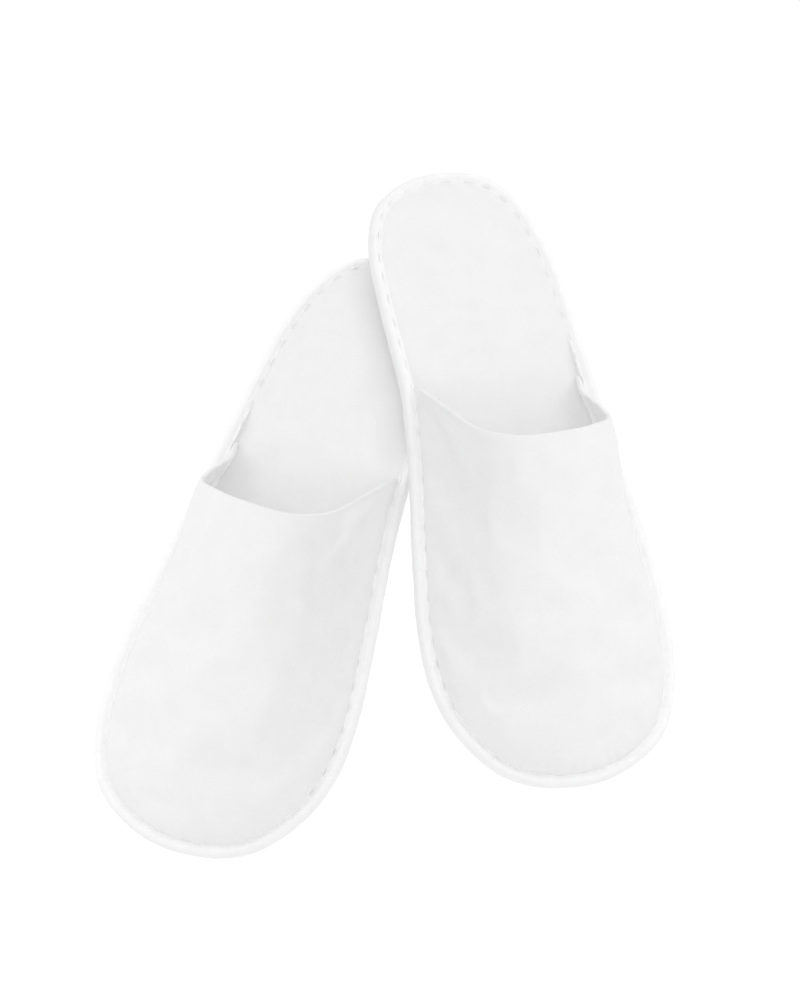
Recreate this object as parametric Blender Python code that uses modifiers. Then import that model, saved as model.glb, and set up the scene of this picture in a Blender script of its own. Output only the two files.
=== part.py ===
"""A pair of closed-toe spa slippers, the right one lying over the heel of the left one.

Each slipper is a sewn sandwich: a foam outsole, a cushion and a fabric footbed, a
three-layer upper over the toes, and a tape folded round the rim and stitched through.
A slipper is modelled for the right foot in its own frame: the heel's rearmost point is
at the origin, the toes point to -Y, the big-toe side is +X and the floor is z = 0.
"""
import math

import bmesh
import bpy
import numpy as np
from mathutils import Matrix, Vector

# ---- driving dimensions, in metres ----
MM = 0.001
GAP = 0.3 * MM

# Sole outline: (across, distance from the heel), anticlockwise from the heel, in mm.
OUTLINE_MM = (
    (0, 0), (18.5, 5.5), (30.8, 20), (39.6, 43), (44.8, 75), (47.8, 101), (52.7, 142),
    (58.2, 182), (60.4, 212), (58.8, 242), (50, 266.5), (34.5, 279), (15, 284.6),
    (-6, 283), (-22, 276.5), (-37.5, 260), (-47, 238), (-49.4, 213), (-45.6, 172),
    (-40.6, 134), (-38.2, 100), (-40.4, 64), (-41, 32), (-35, 12.5), (-18.5, 1.6),
)
RIM_SEGMENTS = 72

OUTSOLE_THICKNESS = 3.5 * MM
CUSHION_THICKNESS = 2.0 * MM
FOOTBED_THICKNESS = 0.6 * MM
SHELL_THICKNESS = 0.7 * MM
PADDING_THICKNESS = 1.0 * MM
LINING_THICKNESS = 0.6 * MM

TAPE_THICKNESS = 0.9 * MM
TAPE_WIDTH = 6.0 * MM
TAPE_UNDERSIDE = 0.8 * MM
TAPE_RISE_SHARE = 0.035
SOLE_EDGE_INSET = TAPE_THICKNESS + GAP
REBATE_WIDTH = TAPE_WIDTH + 1.0 * MM
SEAM_INSET = 4.6 * MM
THREAD_RADIUS = 0.22 * MM

CUSHION_BOTTOM = OUTSOLE_THICKNESS + GAP
FOOTBED_BOTTOM = CUSHION_BOTTOM + CUSHION_THICKNESS + GAP
FOOTBED_TOP = FOOTBED_BOTTOM + FOOTBED_THICKNESS
MARGIN_TOP = FOOTBED_TOP + GAP + LINING_THICKNESS + GAP + SHELL_THICKNESS
HEEL_TAPE_TOP = FOOTBED_TOP + GAP + TAPE_THICKNESS
VAMP_TAPE_TOP = MARGIN_TOP + GAP + TAPE_THICKNESS

# Opening edge of the upper from its outer (little-toe) corner over the instep to its
# inner (big-toe) corner: (across, distance from the heel, height), in mm.
OPENING_MM = (
    (-30.6, 99.5, 8.6), (-27, 104.5, 16), (-20.5, 114.5, 23.5), (-10, 130, 38.5),
    (6, 137.5, 46.5), (24, 138, 46), (39, 135, 38.5), (51, 128.5, 26),
    (49, 118.5, 18.5), (41.6, 107.4, 14.5), (40.3, 104.5, 8.6),
)
VAMP_BASE_INSET = 7.2 * MM
VAMP_MARGIN_INSET = 2.2 * MM
TOE_CAP_DISTANCE = 247 * MM
CORNER_SHARE = 0.005
VAMP_COLUMNS = 20
VAMP_ROWS = 9
FULLNESS_GAIN = 0.45
VALLEY_DEPTH = 4.0 * MM
VALLEY_PLACE = (0.2, 0.12)
VALLEY_SPREAD = (0.08, 0.22)
INNER_SWELL = 3.5 * MM
SWELL_PLACE = 0.8
SWELL_SPREAD = 0.13

# Where each slipper lies: heel point, turn about Z, and the right one's lean on the left.
LEFT_HEEL = (-1.3 * MM, 110.7 * MM, 0.0)
LEFT_TURN = math.radians(-17.9)
RIGHT_HEEL = (20.4 * MM, 149.2 * MM, 10.15 * MM)
RIGHT_TURN = math.radians(9.8)
RIGHT_PITCH = math.radians(1.37)
RIGHT_ROLL = math.radians(4.52)


# ---- outline ----
def catmull_rom(points, samples, closed):
    """Points along a centripetal Catmull-Rom spline, `samples` to each span."""
    knots = [np.array(point, dtype=float) for point in points]
    if closed:
        knots = [knots[-1]] + knots + knots[:2]
    else:
        knots = [2 * knots[0] - knots[1]] + knots + [2 * knots[-1] - knots[-2]]
    result = []
    for a, b, c, d in zip(knots, knots[1:], knots[2:], knots[3:]):
        t1 = math.sqrt(np.linalg.norm(b - a))
        t2 = t1 + math.sqrt(np.linalg.norm(c - b))
        t3 = t2 + math.sqrt(np.linalg.norm(d - c))
        for step in range(samples):
            t = t1 + (t2 - t1) * step / samples
            ab = a + (b - a) * t / t1
            bc = b + (c - b) * (t - t1) / (t2 - t1)
            cd = c + (d - c) * (t - t2) / (t3 - t2)
            abc = ab + (bc - ab) * t / t2
            bcd = bc + (cd - bc) * (t - t1) / (t3 - t1)
            result.append(abc + (bcd - abc) * (t - t1) / (t2 - t1))
    if not closed:
        result.append(knots[-2])
    return np.array(result)


def resample(points, count, closed):
    """The same line as `count` evenly spaced points."""
    if closed:
        points = np.vstack([points, points[:1]])
    lengths = np.linalg.norm(np.diff(points, axis=0), axis=1)
    along = np.concatenate([[0.0], np.cumsum(lengths)])
    places = np.linspace(0.0, along[-1], count, endpoint=not closed)
    return np.stack([np.interp(places, along, column) for column in points.T], axis=1)


RIM_STEPS = 1440
SPLINE_SAMPLES = 40
SIDE_MARGIN = 3 * MM
OUTLINE_CURVE = catmull_rom(np.array(OUTLINE_MM) * MM, SPLINE_SAMPLES, closed=True)
RIM = resample(OUTLINE_CURVE, RIM_STEPS, closed=True)
RIM_TANGENT = np.roll(RIM, -4, axis=0) - np.roll(RIM, 4, axis=0)
RIM_TANGENT /= np.linalg.norm(RIM_TANGENT, axis=1)[:, None]


def rim(fraction, inset):
    """(across, distance) on the outline, `inset` inwards; fraction 0 is the heel."""
    place = (fraction % 1.0) * RIM_STEPS
    low = int(place) % RIM_STEPS
    high = (low + 1) % RIM_STEPS
    mix = place - int(place)
    point = RIM[low] * (1 - mix) + RIM[high] * mix
    tangent = RIM_TANGENT[low] * (1 - mix) + RIM_TANGENT[high] * mix
    return point + inset * np.array((-tangent[1], tangent[0]))


def rim_fraction(distance, inner_side):
    """Where the outline passes `distance` from the heel on its inner or outer side."""
    on_side = RIM[:, 0] > SIDE_MARGIN if inner_side else RIM[:, 0] < -SIDE_MARGIN
    error = np.where(on_side, np.abs(RIM[:, 1] - distance), np.inf)
    return float(np.argmin(error)) / RIM_STEPS


def smooth_step(value, low, high):
    t = min(max((value - low) / (high - low), 0.0), 1.0)
    return t * t * (3 - 2 * t)


def bell(value, centre, spread):
    return math.exp(-((value - centre) / spread) ** 2)


OUTER_CORNER = rim_fraction(OPENING_MM[0][1] * MM, inner_side=False)
INNER_CORNER = rim_fraction(OPENING_MM[-1][1] * MM, inner_side=True)
OUTER_TOE = rim_fraction(TOE_CAP_DISTANCE, inner_side=False)
INNER_TOE = rim_fraction(TOE_CAP_DISTANCE, inner_side=True)


def tape_top(fraction):
    """Height of the tape: lower round the heel, where no upper is sewn in under it."""
    full = 0.25 * TAPE_RISE_SHARE
    start = smooth_step(fraction, INNER_CORNER - TAPE_RISE_SHARE, INNER_CORNER - full)
    end = 1 - smooth_step(fraction, OUTER_CORNER + full, OUTER_CORNER + TAPE_RISE_SHARE)
    return HEEL_TAPE_TOP + (VAMP_TAPE_TOP - HEEL_TAPE_TOP) * start * end


def to_frame(across, distance, height):
    return Vector((across, -distance, height))


# ---- mesh and object helpers ----
def grid_mesh(name, rows, closed):
    """A mesh of quads through rows of points; closed joins the last row and column."""
    mesh = bpy.data.meshes.new(name)
    row_count = len(rows)
    width = len(rows[0])
    faces = []
    for row in range(row_count if closed else row_count - 1):
        for column in range(width if closed else width - 1):
            here = row * width
            there = (row + 1) % row_count * width
            after = (column + 1) % width
            faces.append((here + column, there + column, there + after, here + after))
    mesh.from_pydata([point for row in rows for point in row], [], faces)
    mesh.update()
    return mesh


def plate_mesh(name, loops, bottom, top):
    """A flat plate inside the first outline, with the other outlines as holes."""
    curve = bpy.data.curves.new(name, "CURVE")
    curve.dimensions = "2D"
    curve.fill_mode = "BOTH"
    curve.extrude = (top - bottom) / 2
    for loop in loops:
        spline = curve.splines.new("POLY")
        spline.points.add(len(loop) - 1)
        spline.use_cyclic_u = True
        for point, (across, distance) in zip(spline.points, loop):
            point.co = (across, -distance, 0.0, 1.0)
    return curve_to_mesh(curve, Matrix.Translation((0, 0, (top + bottom) / 2)))


def ring_mesh(name, points, radius):
    """A closed loop of thread."""
    curve = bpy.data.curves.new(name, "CURVE")
    curve.dimensions = "3D"
    curve.bevel_depth = radius
    curve.bevel_resolution = 0
    spline = curve.splines.new("POLY")
    spline.points.add(len(points) - 1)
    spline.use_cyclic_u = True
    for point, place in zip(spline.points, points):
        point.co = (*place, 1.0)
    return curve_to_mesh(curve, Matrix.Identity(4))


def curve_to_mesh(curve, placement):
    """The curve's solid as a welded mesh; the curve itself is removed."""
    holder = bpy.data.objects.new(curve.name, curve)
    bpy.context.scene.collection.objects.link(holder)
    graph = bpy.context.evaluated_depsgraph_get()
    mesh = bpy.data.meshes.new_from_object(holder.evaluated_get(graph))
    bpy.data.objects.remove(holder)
    bpy.data.curves.remove(curve)
    work = bmesh.new()
    work.from_mesh(mesh)
    bmesh.ops.remove_doubles(work, verts=work.verts, dist=0.00001)
    bmesh.ops.recalc_face_normals(work, faces=work.faces)
    work.to_mesh(mesh)
    work.free()
    mesh.transform(placement)
    return mesh


def outline_loop(inset):
    return [rim(step / RIM_SEGMENTS, inset) for step in range(RIM_SEGMENTS)]


def material(name, colour, roughness):
    result = bpy.data.materials.new(name)
    result.use_nodes = True
    shader = result.node_tree.nodes["Principled BSDF"]
    shader.inputs["Base Color"].default_value = (*colour, 1.0)
    shader.inputs["Roughness"].default_value = roughness
    shader.inputs["Metallic"].default_value = 0.0
    return result


# ---- the slipper's pieces, as right-foot meshes ----
def outsole_mesh():
    return plate_mesh("outsole", [outline_loop(SOLE_EDGE_INSET)], 0.0, OUTSOLE_THICKNESS)


def rebate_mesh():
    """What is cut from under the outsole's edge to let in the tape and the thread."""
    loops = [outline_loop(-2 * MM), outline_loop(REBATE_WIDTH)]
    return plate_mesh("rebate", loops, -1 * MM, TAPE_UNDERSIDE + TAPE_THICKNESS + GAP)


def cushion_mesh():
    top = CUSHION_BOTTOM + CUSHION_THICKNESS
    return plate_mesh("cushion", [outline_loop(SOLE_EDGE_INSET)], CUSHION_BOTTOM, top)


def footbed_mesh():
    return plate_mesh("footbed", [outline_loop(SOLE_EDGE_INSET)], FOOTBED_BOTTOM, FOOTBED_TOP)


def tape_section(top):
    """The tape's cut end, (inset, height), round from its lower inner corner."""
    bottom = TAPE_UNDERSIDE
    wall = TAPE_THICKNESS
    round_over = 1.6 * MM
    return (
        (TAPE_WIDTH, bottom + wall), (wall, bottom + wall), (wall, top - wall),
        (TAPE_WIDTH, top - wall), (TAPE_WIDTH, top), (1.3 * round_over, top),
        (0.45 * round_over, top - 0.3 * round_over), (0.0, top - round_over),
        (0.0, bottom + round_over), (round_over, bottom), (TAPE_WIDTH, bottom),
    )


def binding_mesh():
    rows = []
    for step in range(RIM_SEGMENTS):
        fraction = step / RIM_SEGMENTS
        section = tape_section(tape_top(fraction))
        rows.append([to_frame(*rim(fraction, inset), height) for inset, height in section])
    return grid_mesh("binding", rows, closed=True)


def seam_mesh(name, over):
    points = []
    for step in range(RIM_SEGMENTS):
        fraction = step / RIM_SEGMENTS
        if over:
            height = tape_top(fraction) + GAP + THREAD_RADIUS
        else:
            height = TAPE_UNDERSIDE - GAP - THREAD_RADIUS
        points.append(to_frame(*rim(fraction, SEAM_INSET), height))
    return ring_mesh(name, points, THREAD_RADIUS)


# ---- the upper ----
OPENING_CURVE = catmull_rom(np.array(OPENING_MM) * MM, SPLINE_SAMPLES, closed=False)
OPENING_STEPS = len(OPENING_CURVE) - 1


def upper_point(s, t):
    """Outer face of the upper.

    s runs across from the outer side (0) to the inner side (1), and t runs from the
    opening's edge (0) to the toe (1). The plan is a Coons patch between the opening's
    edge, the two sides and the toe. The height falls as a parabola towards the toe, more
    slowly at the sides, with a hollow by the opening's outer end.
    """
    opening = OPENING_CURVE[min(int(round(s * OPENING_STEPS)), OPENING_STEPS)]
    outer_fraction = OUTER_CORNER + (OUTER_TOE - OUTER_CORNER) * t
    inner_fraction = INNER_CORNER + (INNER_TOE - INNER_CORNER) * t
    toe = rim(OUTER_TOE + (INNER_TOE - OUTER_TOE) * s, VAMP_BASE_INSET)
    outer = rim(outer_fraction, VAMP_BASE_INSET)
    inner = rim(inner_fraction, VAMP_BASE_INSET)
    corners = (
        (1 - s) * (1 - t) * OPENING_CURVE[0][:2] + s * (1 - t) * OPENING_CURVE[-1][:2]
        + (1 - s) * t * rim(OUTER_TOE, VAMP_BASE_INSET)
        + s * t * rim(INNER_TOE, VAMP_BASE_INSET)
    )
    plan = (1 - t) * opening[:2] + t * toe + (1 - s) * outer + s * inner - corners
    plan[0] += INNER_SWELL * 4 * t * (1 - t) * bell(s, SWELL_PLACE, SWELL_SPREAD)
    rise = max(opening[2] - MARGIN_TOP, 0.0)
    crest = OPENING_CURVE[:, 2].max() - MARGIN_TOP
    fullness = (rise / crest) ** (1 - FULLNESS_GAIN * t)
    hollow = bell(s, VALLEY_PLACE[0], VALLEY_SPREAD[0]) * bell(t, VALLEY_PLACE[1], VALLEY_SPREAD[1])
    valley = VALLEY_DEPTH * hollow * smooth_step(t, 0, 0.1)
    height = MARGIN_TOP + crest * fullness * math.sqrt(1 - t) - valley
    return to_frame(plan[0], plan[1], height)


def upper_rows():
    """Rows of points of the upper's outer face, with the seam margin round the outside.

    The margin turns two corners, at the ends of the toe's stretch. Its points next to a
    corner are spread apart by a corner's share of the outline.
    """
    rows = []
    columns = [column / VAMP_COLUMNS for column in range(VAMP_COLUMNS + 1)]
    for row in range(VAMP_ROWS + 1):
        t = 1 - (1 - row / VAMP_ROWS) ** 1.5
        outer_fraction = OUTER_CORNER + (OUTER_TOE + CORNER_SHARE - OUTER_CORNER) * t
        inner_fraction = INNER_CORNER + (INNER_TOE - CORNER_SHARE - INNER_CORNER) * t
        outer = margin_point(outer_fraction)
        inner = margin_point(inner_fraction)
        rows.append([outer] + [upper_point(s, t) for s in columns] + [inner])
    toe = [margin_point(OUTER_TOE)]
    for s in columns:
        start = OUTER_TOE - CORNER_SHARE
        toe.append(margin_point(start + (INNER_TOE + CORNER_SHARE - start) * s))
    toe.append(margin_point(INNER_TOE))
    rows.append(toe)
    return rows


def margin_point(fraction):
    return to_frame(*rim(fraction, VAMP_MARGIN_INSET), MARGIN_TOP)


def layer_mesh(name, depth, seam_depth, with_margin):
    """One layer of the upper: its outer face, `depth` inside the shell's outer face."""
    rows = upper_rows()
    width = len(rows[0])
    surface = grid_mesh(name, rows, closed=False)
    work = bmesh.new()
    work.from_mesh(surface)
    bpy.data.meshes.remove(surface)
    moved = []
    for index, vertex in enumerate(work.verts):
        row, column = divmod(index, width)
        on_seam = column <= 1 or column >= width - 2 or row >= len(rows) - 2
        distance = seam_depth if on_seam else depth
        moved.append(vertex.co - vertex.normal * distance * vertex.calc_shell_factor())
    work.free()
    kept = [moved[start:start + width] for start in range(0, len(moved), width)]
    if not with_margin:
        kept = [row[2:-2] for row in kept[:-2]]
    return grid_mesh(name, kept, closed=False)


def shell_mesh():
    return layer_mesh("shell", 0.0, 0.0, with_margin=True)


def padding_mesh():
    depth = SHELL_THICKNESS + GAP
    return layer_mesh("padding", depth, depth, with_margin=False)


def lining_mesh():
    seam_depth = SHELL_THICKNESS + GAP
    return layer_mesh("lining", seam_depth + PADDING_THICKNESS + GAP, seam_depth, with_margin=True)


# ---- assembly ----
def add_piece(name, mesh, mirrored, look, parent, collection, smooth):
    """An object with its own copy of the mesh, mirrored for the left foot."""
    own = mesh.copy()
    own.name = name
    if mirrored:
        own.transform(Matrix.Scale(-1, 4, (1, 0, 0)))
        own.flip_normals()
    if smooth:
        own.shade_smooth()
        own.set_sharp_from_angle(angle=math.radians(40))
    piece = bpy.data.objects.new(name, own)
    piece.parent = parent
    if look:
        own.materials.append(look)
    collection.objects.link(piece)
    return piece


def thicken(piece, thickness):
    shell = piece.modifiers.new("thickness", "SOLIDIFY")
    shell.thickness = thickness
    shell.offset = -1
    shell.use_even_offset = True


def add_slipper(side, mirrored, parent, looks, parts, cutters):
    def add(name, mesh, look, smooth=False):
        full_name = side + "_" + name
        return add_piece(full_name, mesh, mirrored, looks[look], parent, parts, smooth)

    outsole = add("outsole", outsole_mesh(), "sole_foam")
    rebate = add_piece(side + "_rebate_cutter", rebate_mesh(), mirrored, None, parent, cutters, False)
    rebate.hide_render = True
    rebate.display_type = "WIRE"
    cut = outsole.modifiers.new("rebate", "BOOLEAN")
    cut.operation = "DIFFERENCE"
    cut.solver = "EXACT"
    cut.object = rebate
    add("cushion_foam", cushion_mesh(), "cushion_foam")
    add("footbed_cover", footbed_mesh(), "footbed_fabric")
    thicken(add("upper_lining", lining_mesh(), "lining_fabric", smooth=True), LINING_THICKNESS)
    thicken(add("upper_padding", padding_mesh(), "cushion_foam", smooth=True), PADDING_THICKNESS)
    thicken(add("upper_shell", shell_mesh(), "shell_fabric", smooth=True), SHELL_THICKNESS)
    add("edge_binding", binding_mesh(), "binding_tape", smooth=True)
    add("needle_thread", seam_mesh("needle", over=True), "thread", smooth=True)
    add("bobbin_thread", seam_mesh("bobbin", over=False), "thread", smooth=True)


def add_frame(name, heel, turn, pitch, roll):
    """The empty that a slipper's pieces are placed by, at its heel point."""
    frame = bpy.data.objects.new(name, None)
    frame.rotation_mode = "XYZ"
    turned = Matrix.Rotation(turn, 4, "Z")
    tilted = Matrix.Rotation(pitch, 4, "X") @ Matrix.Rotation(roll, 4, "Y")
    frame.matrix_world = Matrix.Translation(heel) @ turned @ tilted
    bpy.context.scene.collection.objects.link(frame)
    return frame


def centre_on_floor(parts, frames):
    """Move both slippers so that the middle of their common box is over the origin."""
    bpy.context.view_layer.update()
    graph = bpy.context.evaluated_depsgraph_get()
    corners = []
    for piece in parts.objects:
        shape = piece.evaluated_get(graph)
        places = np.empty(len(shape.data.vertices) * 3)
        shape.data.vertices.foreach_get("co", places)
        turn = np.array(shape.matrix_world)
        corners.append(places.reshape(-1, 3) @ turn[:3, :3].T + turn[:3, 3])
    points = np.vstack(corners)
    middle = (points.min(axis=0) + points.max(axis=0)) / 2
    for frame in frames:
        frame.location.x -= middle[0]
        frame.location.y -= middle[1]


def main():
    for item in list(bpy.data.objects):
        bpy.data.objects.remove(item)
    parts = bpy.data.collections.new("spa_slippers")
    cutters = bpy.data.collections.new("cutters")
    bpy.context.scene.collection.children.link(parts)
    bpy.context.scene.collection.children.link(cutters)
    looks = {
        "sole_foam": material("sole_foam", (0.80, 0.80, 0.79), 0.75),
        "cushion_foam": material("cushion_foam", (0.84, 0.83, 0.79), 0.9),
        "footbed_fabric": material("footbed_fabric", (0.86, 0.86, 0.86), 0.95),
        "lining_fabric": material("lining_fabric", (0.85, 0.85, 0.85), 0.95),
        "shell_fabric": material("shell_fabric", (0.88, 0.88, 0.88), 0.95),
        "binding_tape": material("binding_tape", (0.90, 0.90, 0.90), 0.85),
        "thread": material("thread", (0.92, 0.92, 0.92), 0.6),
    }
    left = add_frame("left_frame", LEFT_HEEL, LEFT_TURN, 0.0, 0.0)
    right = add_frame("right_frame", RIGHT_HEEL, RIGHT_TURN, RIGHT_PITCH, RIGHT_ROLL)
    add_slipper("left", True, left, looks, parts, cutters)
    add_slipper("right", False, right, looks, parts, cutters)
    centre_on_floor(parts, (left, right))


main()
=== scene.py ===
"""The visual model of a pair of closed-toe spa slippers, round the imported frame.

Each slipper is made once, for the right foot, in its own frame: the heel's rearmost point
is at the origin, the toes point to -Y, the big-toe side is +X and the floor is z = 0. The
left slipper is its mirror image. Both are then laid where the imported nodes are. Surfaces
are worked out as grids of points with numpy, in millimetres, and written in metres.
"""
import math

import bpy
import numpy as np
from mathutils import Matrix, Vector
from mathutils.kdtree import KDTree


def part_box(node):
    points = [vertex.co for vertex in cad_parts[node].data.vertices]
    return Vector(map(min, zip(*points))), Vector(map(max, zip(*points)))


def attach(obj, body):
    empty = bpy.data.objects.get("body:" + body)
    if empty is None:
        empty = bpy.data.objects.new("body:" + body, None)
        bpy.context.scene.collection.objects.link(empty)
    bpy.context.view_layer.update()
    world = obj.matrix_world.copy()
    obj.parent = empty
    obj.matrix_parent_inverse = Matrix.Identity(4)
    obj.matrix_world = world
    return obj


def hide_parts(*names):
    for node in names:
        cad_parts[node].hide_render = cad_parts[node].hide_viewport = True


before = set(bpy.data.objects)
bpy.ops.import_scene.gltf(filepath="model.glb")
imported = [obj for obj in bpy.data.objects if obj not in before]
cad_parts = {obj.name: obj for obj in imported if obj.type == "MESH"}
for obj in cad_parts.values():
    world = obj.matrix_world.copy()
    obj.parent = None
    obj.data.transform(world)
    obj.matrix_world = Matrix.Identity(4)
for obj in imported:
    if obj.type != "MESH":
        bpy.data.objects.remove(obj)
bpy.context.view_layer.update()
MM = 0.001

# ---- the slipper's design, in millimetres ----
# Outline points are (across, distance from the heel), opening points have a height too. They
# are the CAD's numbers, but for the opening's last few points, at its inner corner.
OUTLINE = (
    (0, 0), (18.5, 5.5), (30.8, 20), (39.6, 43), (44.8, 75), (47.8, 101), (52.7, 142),
    (58.2, 182), (60.4, 212), (58.8, 242), (50, 266.5), (34.5, 279), (15, 284.6),
    (-6, 283), (-22, 276.5), (-37.5, 260), (-47, 238), (-49.4, 213), (-45.6, 172),
    (-40.6, 134), (-38.2, 100), (-40.4, 64), (-41, 32), (-35, 12.5), (-18.5, 1.6),
)
OPENING = (
    (-30.6, 99.5, 8.6), (-27, 104.5, 16), (-20.5, 114.5, 23.5), (-10, 130, 38.5),
    (6, 137.5, 46.5), (24, 138, 46), (38.5, 135.2, 38.5), (49.4, 129.2, 27),
    (46, 119.6, 19.5), (42, 112, 14), (42, 103.9, 8.6),
)
TOE_CAP_DISTANCE = 247.0
OUTSOLE_TOP = 3.5
CUSHION_BOTTOM = 3.6
CUSHION_TOP = 5.9
FOOTBED_TOP = 6.8
FOOTBED_THICKNESS = 0.6
HEEL_TAPE_TOP = 7.9
VAMP_TAPE_TOP = 9.8
TAPE_WIDTH = 6.0
SEAM_INSET = 4.7
MARGIN_TOP = 8.6

# How each slipper lies, as the CAD has it: turn about Z, pitch about X, roll about Y.
LIE = {
    "left": (math.radians(-17.9), 0.0, 0.0),
    "right": (math.radians(9.8), math.radians(1.37), math.radians(4.52)),
}


# ---- curves ----
def catmull_rom(points, samples, closed):
    """Points along a centripetal Catmull-Rom spline, `samples` to each span."""
    knots = [np.array(point, dtype=float) for point in points]
    if closed:
        knots = [knots[-1]] + knots + knots[:2]
    else:
        knots = [2 * knots[0] - knots[1]] + knots + [2 * knots[-1] - knots[-2]]
    result = []
    for a, b, c, d in zip(knots, knots[1:], knots[2:], knots[3:]):
        t1 = math.sqrt(np.linalg.norm(b - a))
        t2 = t1 + math.sqrt(np.linalg.norm(c - b))
        t3 = t2 + math.sqrt(np.linalg.norm(d - c))
        for step in range(samples):
            t = t1 + (t2 - t1) * step / samples
            ab = a + (b - a) * t / t1
            bc = b + (c - b) * (t - t1) / (t2 - t1)
            cd = c + (d - c) * (t - t2) / (t3 - t2)
            abc = ab + (bc - ab) * t / t2
            bcd = bc + (cd - bc) * (t - t1) / (t3 - t1)
            result.append(abc + (bcd - abc) * (t - t1) / (t2 - t1))
    if not closed:
        result.append(knots[-2])
    return np.array(result)


def resample(points, count, closed):
    """The same line as `count` evenly spaced points, and its length."""
    if closed:
        points = np.vstack([points, points[:1]])
    lengths = np.linalg.norm(np.diff(points, axis=0), axis=1)
    along = np.concatenate([[0.0], np.cumsum(lengths)])
    places = np.linspace(0.0, along[-1], count, endpoint=not closed)
    even = np.stack([np.interp(places, along, column) for column in points.T], axis=1)
    return even, along[-1]


RIM_STEPS = 1440
SPLINE_SAMPLES = 40
TANGENT_REACH = 4
OUTLINE_CURVE = catmull_rom(OUTLINE, SPLINE_SAMPLES, closed=True)
RIM, RIM_LENGTH = resample(OUTLINE_CURVE, RIM_STEPS, closed=True)
RIM_TANGENT = np.roll(RIM, -TANGENT_REACH, axis=0) - np.roll(RIM, TANGENT_REACH, axis=0)
RIM_TANGENT /= np.linalg.norm(RIM_TANGENT, axis=1)[:, None]


def rim(fraction, inset):
    """(across, distance) on the outline, `inset` inwards; fraction 0 is the heel."""
    place = (np.asarray(fraction, dtype=float) % 1.0) * RIM_STEPS
    low = place.astype(int) % RIM_STEPS
    high = (low + 1) % RIM_STEPS
    mix = (place - np.floor(place))[..., None]
    point = RIM[low] * (1 - mix) + RIM[high] * mix
    tangent = RIM_TANGENT[low] * (1 - mix) + RIM_TANGENT[high] * mix
    inward = np.stack([-tangent[..., 1], tangent[..., 0]], axis=-1)
    return point + np.asarray(inset, dtype=float)[..., None] * inward


RIM_TREE = KDTree(RIM_STEPS)
for rim_index, (rim_across, rim_distance) in enumerate(RIM):
    RIM_TREE.insert((rim_across, rim_distance, 0.0), rim_index)
RIM_TREE.balance()


def nearest_rim(points):
    """How far inside the outline each (across, distance) is, and how far along it."""
    flat = points.reshape(-1, 2)
    index = np.array([RIM_TREE.find((x, y, 0.0))[1] for x, y in flat])
    offset = flat - RIM[index]
    tangent = RIM_TANGENT[index]
    depth = tangent[:, 0] * offset[:, 1] - tangent[:, 1] * offset[:, 0]
    along = index * RIM_LENGTH / RIM_STEPS + (tangent * offset).sum(axis=1)
    return depth.reshape(points.shape[:-1]), along.reshape(points.shape[:-1])


SIDE_MARGIN = 3.0


def rim_fraction(distance, inner_side):
    """Where the outline passes `distance` from the heel on its inner or outer side."""
    on_side = RIM[:, 0] > SIDE_MARGIN if inner_side else RIM[:, 0] < -SIDE_MARGIN
    error = np.where(on_side, np.abs(RIM[:, 1] - distance), np.inf)
    return float(np.argmin(error)) / RIM_STEPS


def smooth_step(value, low, high):
    """0 up to low, 1 from high on, with a soft start and end."""
    t = np.clip((value - low) / (high - low), 0.0, 1.0)
    return t * t * (3 - 2 * t)


def bump(value, centre, width):
    """1 at the centre, dying away over about the width on each side."""
    return np.exp(-((value - centre) / width) ** 2)


GOLDEN_ANGLE = 2.399963


def ripple(along, across, seed, waves):
    """Smooth unrepeating waviness between about -1 and 1, from a few sines.

    `waves` holds (wavelength along, wavelength across) pairs, in the units of the inputs.
    """
    total = 0.0
    weight = 0.0
    for index, (length_along, length_across) in enumerate(waves):
        phase = GOLDEN_ANGLE * (seed + 7 * index)
        drift = 0.7 * np.sin(along / (2.7 * length_along) * 2 * math.pi + 1.7 * phase)
        wave = np.sin(2 * math.pi * along / length_along + phase + drift)
        total = total + wave * np.cos(2 * math.pi * across / length_across + 0.6 * phase)
        weight += 0.6
    return total / weight


OUTER_CORNER = rim_fraction(OPENING[0][1], inner_side=False)
INNER_CORNER = rim_fraction(OPENING[-1][1], inner_side=True)
OUTER_TOE = rim_fraction(TOE_CAP_DISTANCE, inner_side=False)
INNER_TOE = rim_fraction(TOE_CAP_DISTANCE, inner_side=True)


TAPE_RISE_SHARE = 0.035


def upper_share(fraction):
    """1 where the upper is sewn in under the tape, falling to 0 round the heel."""
    far, near = TAPE_RISE_SHARE, 0.25 * TAPE_RISE_SHARE
    start = smooth_step(fraction, INNER_CORNER - far, INNER_CORNER - near)
    end = 1 - smooth_step(fraction, OUTER_CORNER + near, OUTER_CORNER + far)
    return start * end


# ---- meshes from grids of points ----
def grid_faces(rows, columns, wrap_rows, wrap_columns):
    """Four-sided faces between neighbouring points of a grid, numbered row by row."""
    row = np.arange(rows if wrap_rows else rows - 1)
    column = np.arange(columns if wrap_columns else columns - 1)
    here, there = row * columns, (row + 1) % rows * columns
    after = (column + 1) % columns
    quads = np.stack([
        here[:, None] + column, there[:, None] + column,
        there[:, None] + after, here[:, None] + after,
    ], axis=-1)
    return quads.reshape(-1, 4)


def make_mesh(name, points, faces):
    """A smooth-shaded mesh from millimetre points in (across, distance, height)."""
    places = np.asarray(points, dtype=float).reshape(-1, 3) * (MM, -MM, MM)
    mesh = bpy.data.meshes.new(name)
    mesh.from_pydata(places.tolist(), [], [list(face) for face in faces])
    mesh.validate()
    mesh.update()
    mesh.shade_smooth()
    return mesh


def normals_of(grid):
    """Unit normals of a grid of points, (rows, columns, 3)."""
    cross = np.cross(np.gradient(grid, axis=1), np.gradient(grid, axis=0))
    length = np.linalg.norm(cross, axis=-1, keepdims=True)
    return cross / np.maximum(length, 1e-9)


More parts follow.
